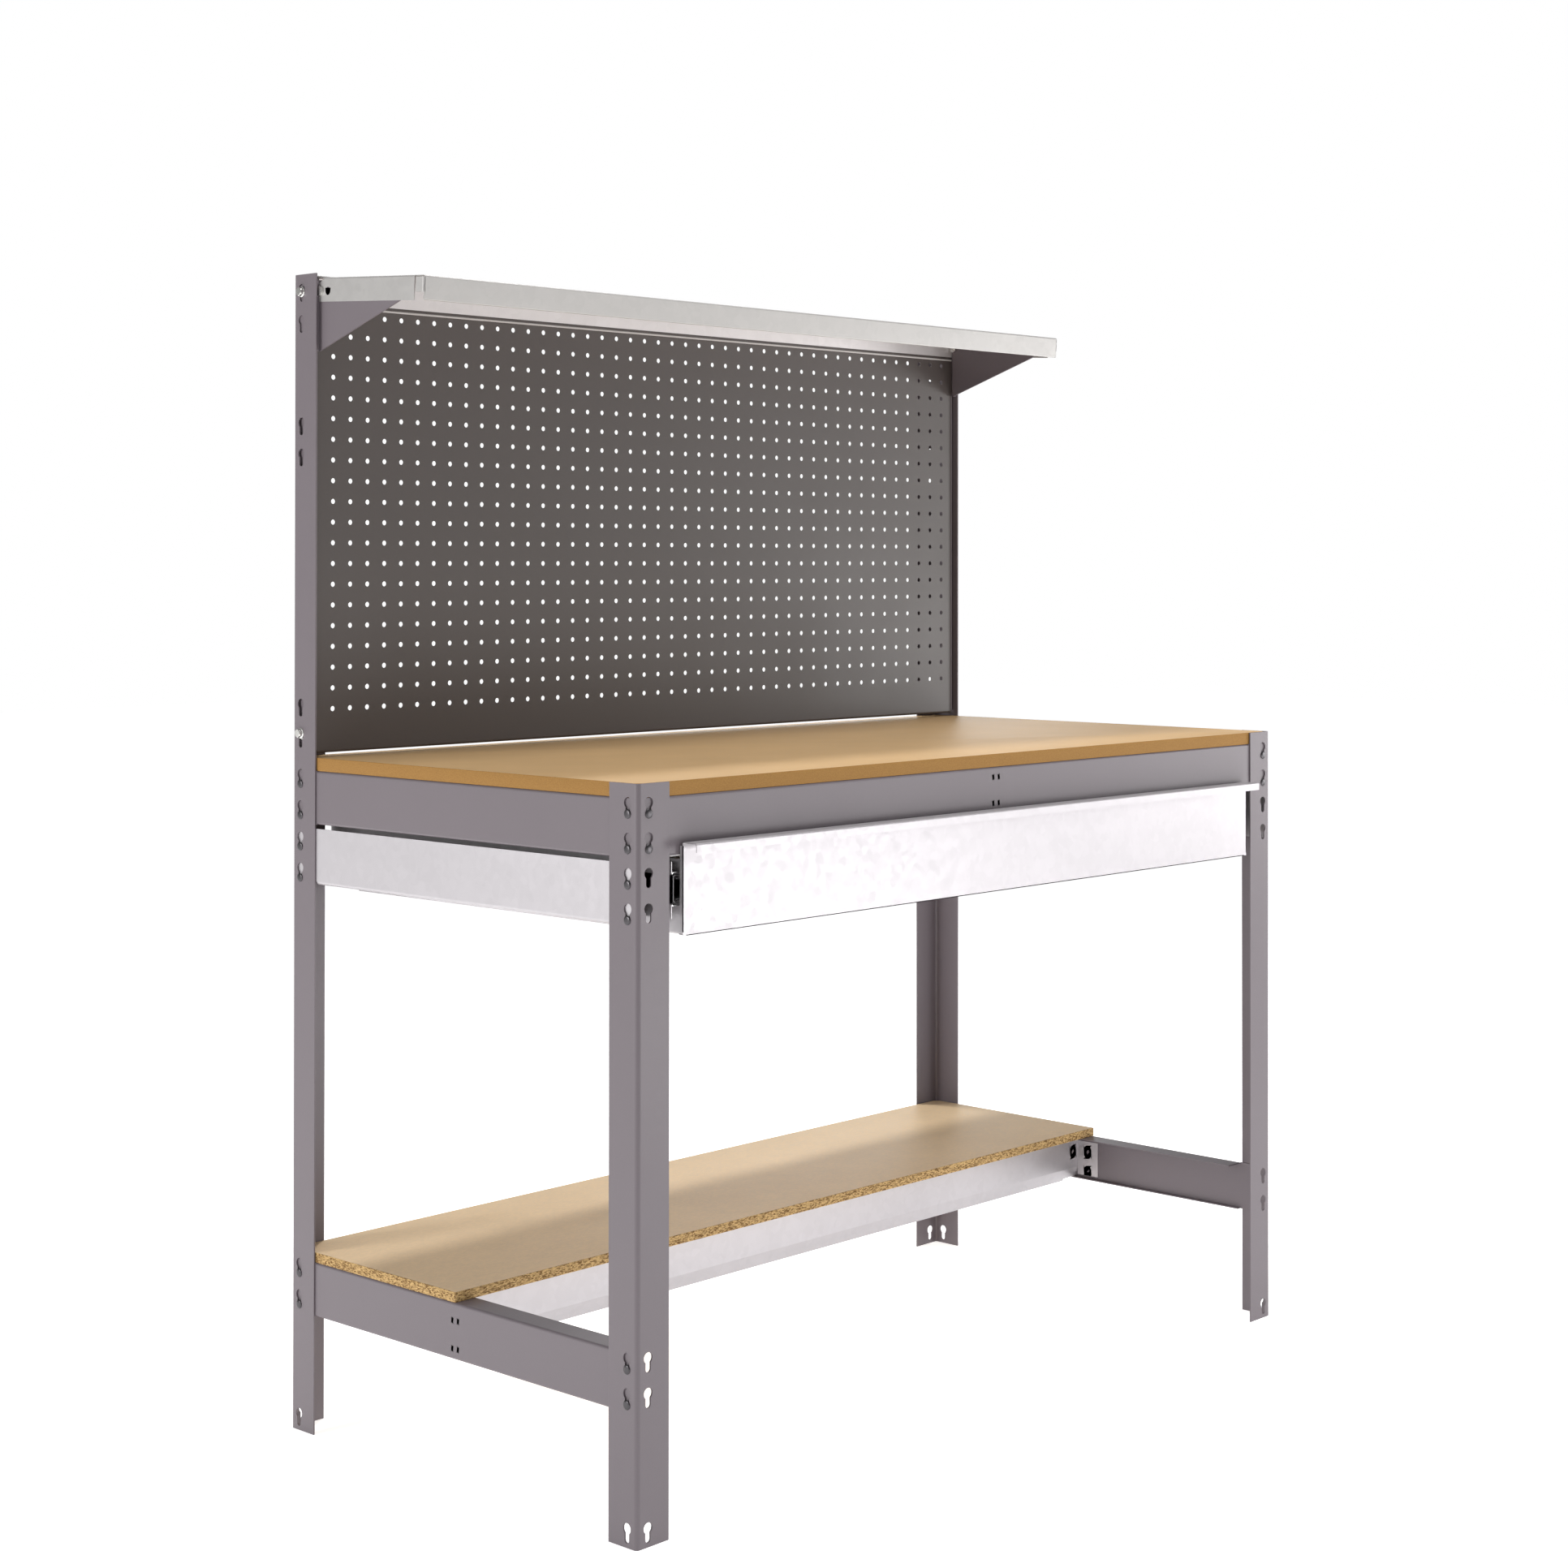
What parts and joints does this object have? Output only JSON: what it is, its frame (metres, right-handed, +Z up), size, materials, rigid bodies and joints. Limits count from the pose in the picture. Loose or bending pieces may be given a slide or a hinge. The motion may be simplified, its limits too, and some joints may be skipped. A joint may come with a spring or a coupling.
{
  "type": "workbench",
  "caption": "boltless steel workbench with perforated back panel, sloping tray shelf, full-width drawer on ball-bearing slides and a half-depth lower shelf",
  "frame": {"origin": "centre of the overall footprint at floor level", "axes": "X across the bench, left to right for a person at the drawer; Y to the rear; Z up"},
  "size_m": [1.1904, 0.6576, 1.41],
  "materials": {
    "painted_steel": "satin warm grey powder coat",
    "galvanized_sheet": "galvanized with a fine spangle",
    "slide_steel": "bright zinc plated",
    "zinc_fixings": "bright zinc plated",
    "worktop_board": "raw fibreboard",
    "shelf_board": "raw chipboard"
  },
  "bodies": {
    "bench": {"post_front_left": "painted_steel", "post_front_right": "painted_steel", "post_rear_left": "painted_steel", "post_rear_right": "painted_steel", "top_beam_front": "painted_steel", "top_beam_rear": "painted_steel", "top_beam_left": "painted_steel", "top_beam_right": "painted_steel", "lower_beam_left": "painted_steel", "lower_beam_right": "painted_steel", "lower_beam_rear": "painted_steel", "beam_rivets": "painted_steel", "worktop": "worktop_board", "worktop_stiffener": "galvanized_sheet", "lower_shelf": "shelf_board", "shelf_cross_beam": "galvanized_sheet", "back_panel": "painted_steel", "panel_bolts": "zinc_fixings", "panel_nuts": "zinc_fixings", "panel_spacers": "zinc_fixings", "shelf_bracket_left": "painted_steel", "shelf_bracket_right": "painted_steel", "upper_shelf": "galvanized_sheet", "shelf_bolts": "zinc_fixings", "shelf_nuts": "zinc_fixings", "drawer_carrier_left": "galvanized_sheet", "drawer_carrier_right": "galvanized_sheet", "carrier_rivets": "zinc_fixings", "slide_outer_left": "slide_steel", "slide_outer_right": "slide_steel", "carrier_screws": "zinc_fixings"},
    "drawer": {"drawer_front": "galvanized_sheet", "drawer_tray": "galvanized_sheet", "drawer_back": "galvanized_sheet", "slide_inner_left": "slide_steel", "slide_inner_right": "slide_steel", "drawer_screws": "zinc_fixings"},
    "middle_left": {"slide_middle_left": "slide_steel"},
    "middle_right": {"slide_middle_right": "slide_steel"},
    "outer_cage_l": {"outer_cage_left": "slide_steel"},
    "outer_cage_r": {"outer_cage_right": "slide_steel"},
    "inner_cage_l": {"inner_cage_left": "slide_steel"},
    "inner_cage_r": {"inner_cage_right": "slide_steel"}
  },
  "joints": [
    {"name": "drawer_slide", "type": "slide", "parent": "bench", "child": "drawer", "axis": [0, -1, 0], "range_m": [0, 0.5]},
    {"name": "middle_left_slide", "type": "slide", "parent": "bench", "child": "middle_left", "axis": [0, -1, 0], "range_m": [0, 0.25]},
    {"name": "middle_right_slide", "type": "slide", "parent": "bench", "child": "middle_right", "axis": [0, -1, 0], "range_m": [0, 0.25]},
    {"name": "outer_cage_l_slide", "type": "slide", "parent": "bench", "child": "outer_cage_l", "axis": [0, -1, 0], "range_m": [0, 0.125]},
    {"name": "outer_cage_r_slide", "type": "slide", "parent": "bench", "child": "outer_cage_r", "axis": [0, -1, 0], "range_m": [0, 0.125]},
    {"name": "inner_cage_l_slide", "type": "slide", "parent": "bench", "child": "inner_cage_l", "axis": [0, -1, 0], "range_m": [0, 0.375]},
    {"name": "inner_cage_r_slide", "type": "slide", "parent": "bench", "child": "inner_cage_r", "axis": [0, -1, 0], "range_m": [0, 0.375]}
  ],
  "couplings": [
    {"joint": "middle_left_slide", "follows": "drawer_slide", "ratio": 0.5},
    {"joint": "middle_right_slide", "follows": "drawer_slide", "ratio": 0.5},
    {"joint": "outer_cage_l_slide", "follows": "drawer_slide", "ratio": 0.25},
    {"joint": "outer_cage_r_slide", "follows": "drawer_slide", "ratio": 0.25},
    {"joint": "inner_cage_l_slide", "follows": "drawer_slide", "ratio": 0.75},
    {"joint": "inner_cage_r_slide", "follows": "drawer_slide", "ratio": 0.75}
  ]
}
